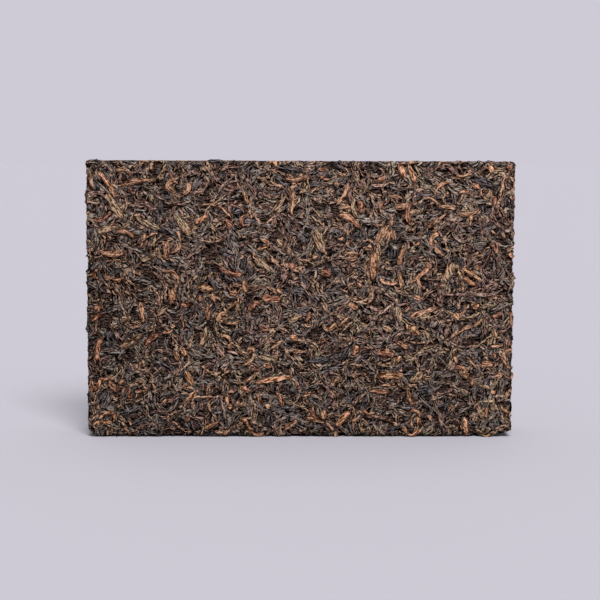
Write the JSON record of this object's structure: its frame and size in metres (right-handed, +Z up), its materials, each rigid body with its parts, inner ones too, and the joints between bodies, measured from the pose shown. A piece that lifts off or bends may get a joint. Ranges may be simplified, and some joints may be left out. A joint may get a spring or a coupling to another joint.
{
  "type": "pressed tea brick",
  "caption": "Brick of pressed dark tea: twisted leaves, curls and stems squeezed into one flat rectangular slab that stands on its long narrow edge.",
  "frame": {"origin": "middle of the foot, the long narrow edge that the brick stands on", "axes": "+X along the brick's length, to the right seen from the front; +Y through its thickness, from the front broad face to the back one; +Z up"},
  "size_m": [0.14, 0.0232, 0.091],
  "materials": {
    "pressed_leaf": "dry, matt to faintly glossy twisted tea leaves, dark brown-black with scattered tan, olive and rust-orange leaves and stems"
  },
  "bodies": {
    "root": {"tea_brick": "pressed_leaf"}
  },
  "joints": []
}
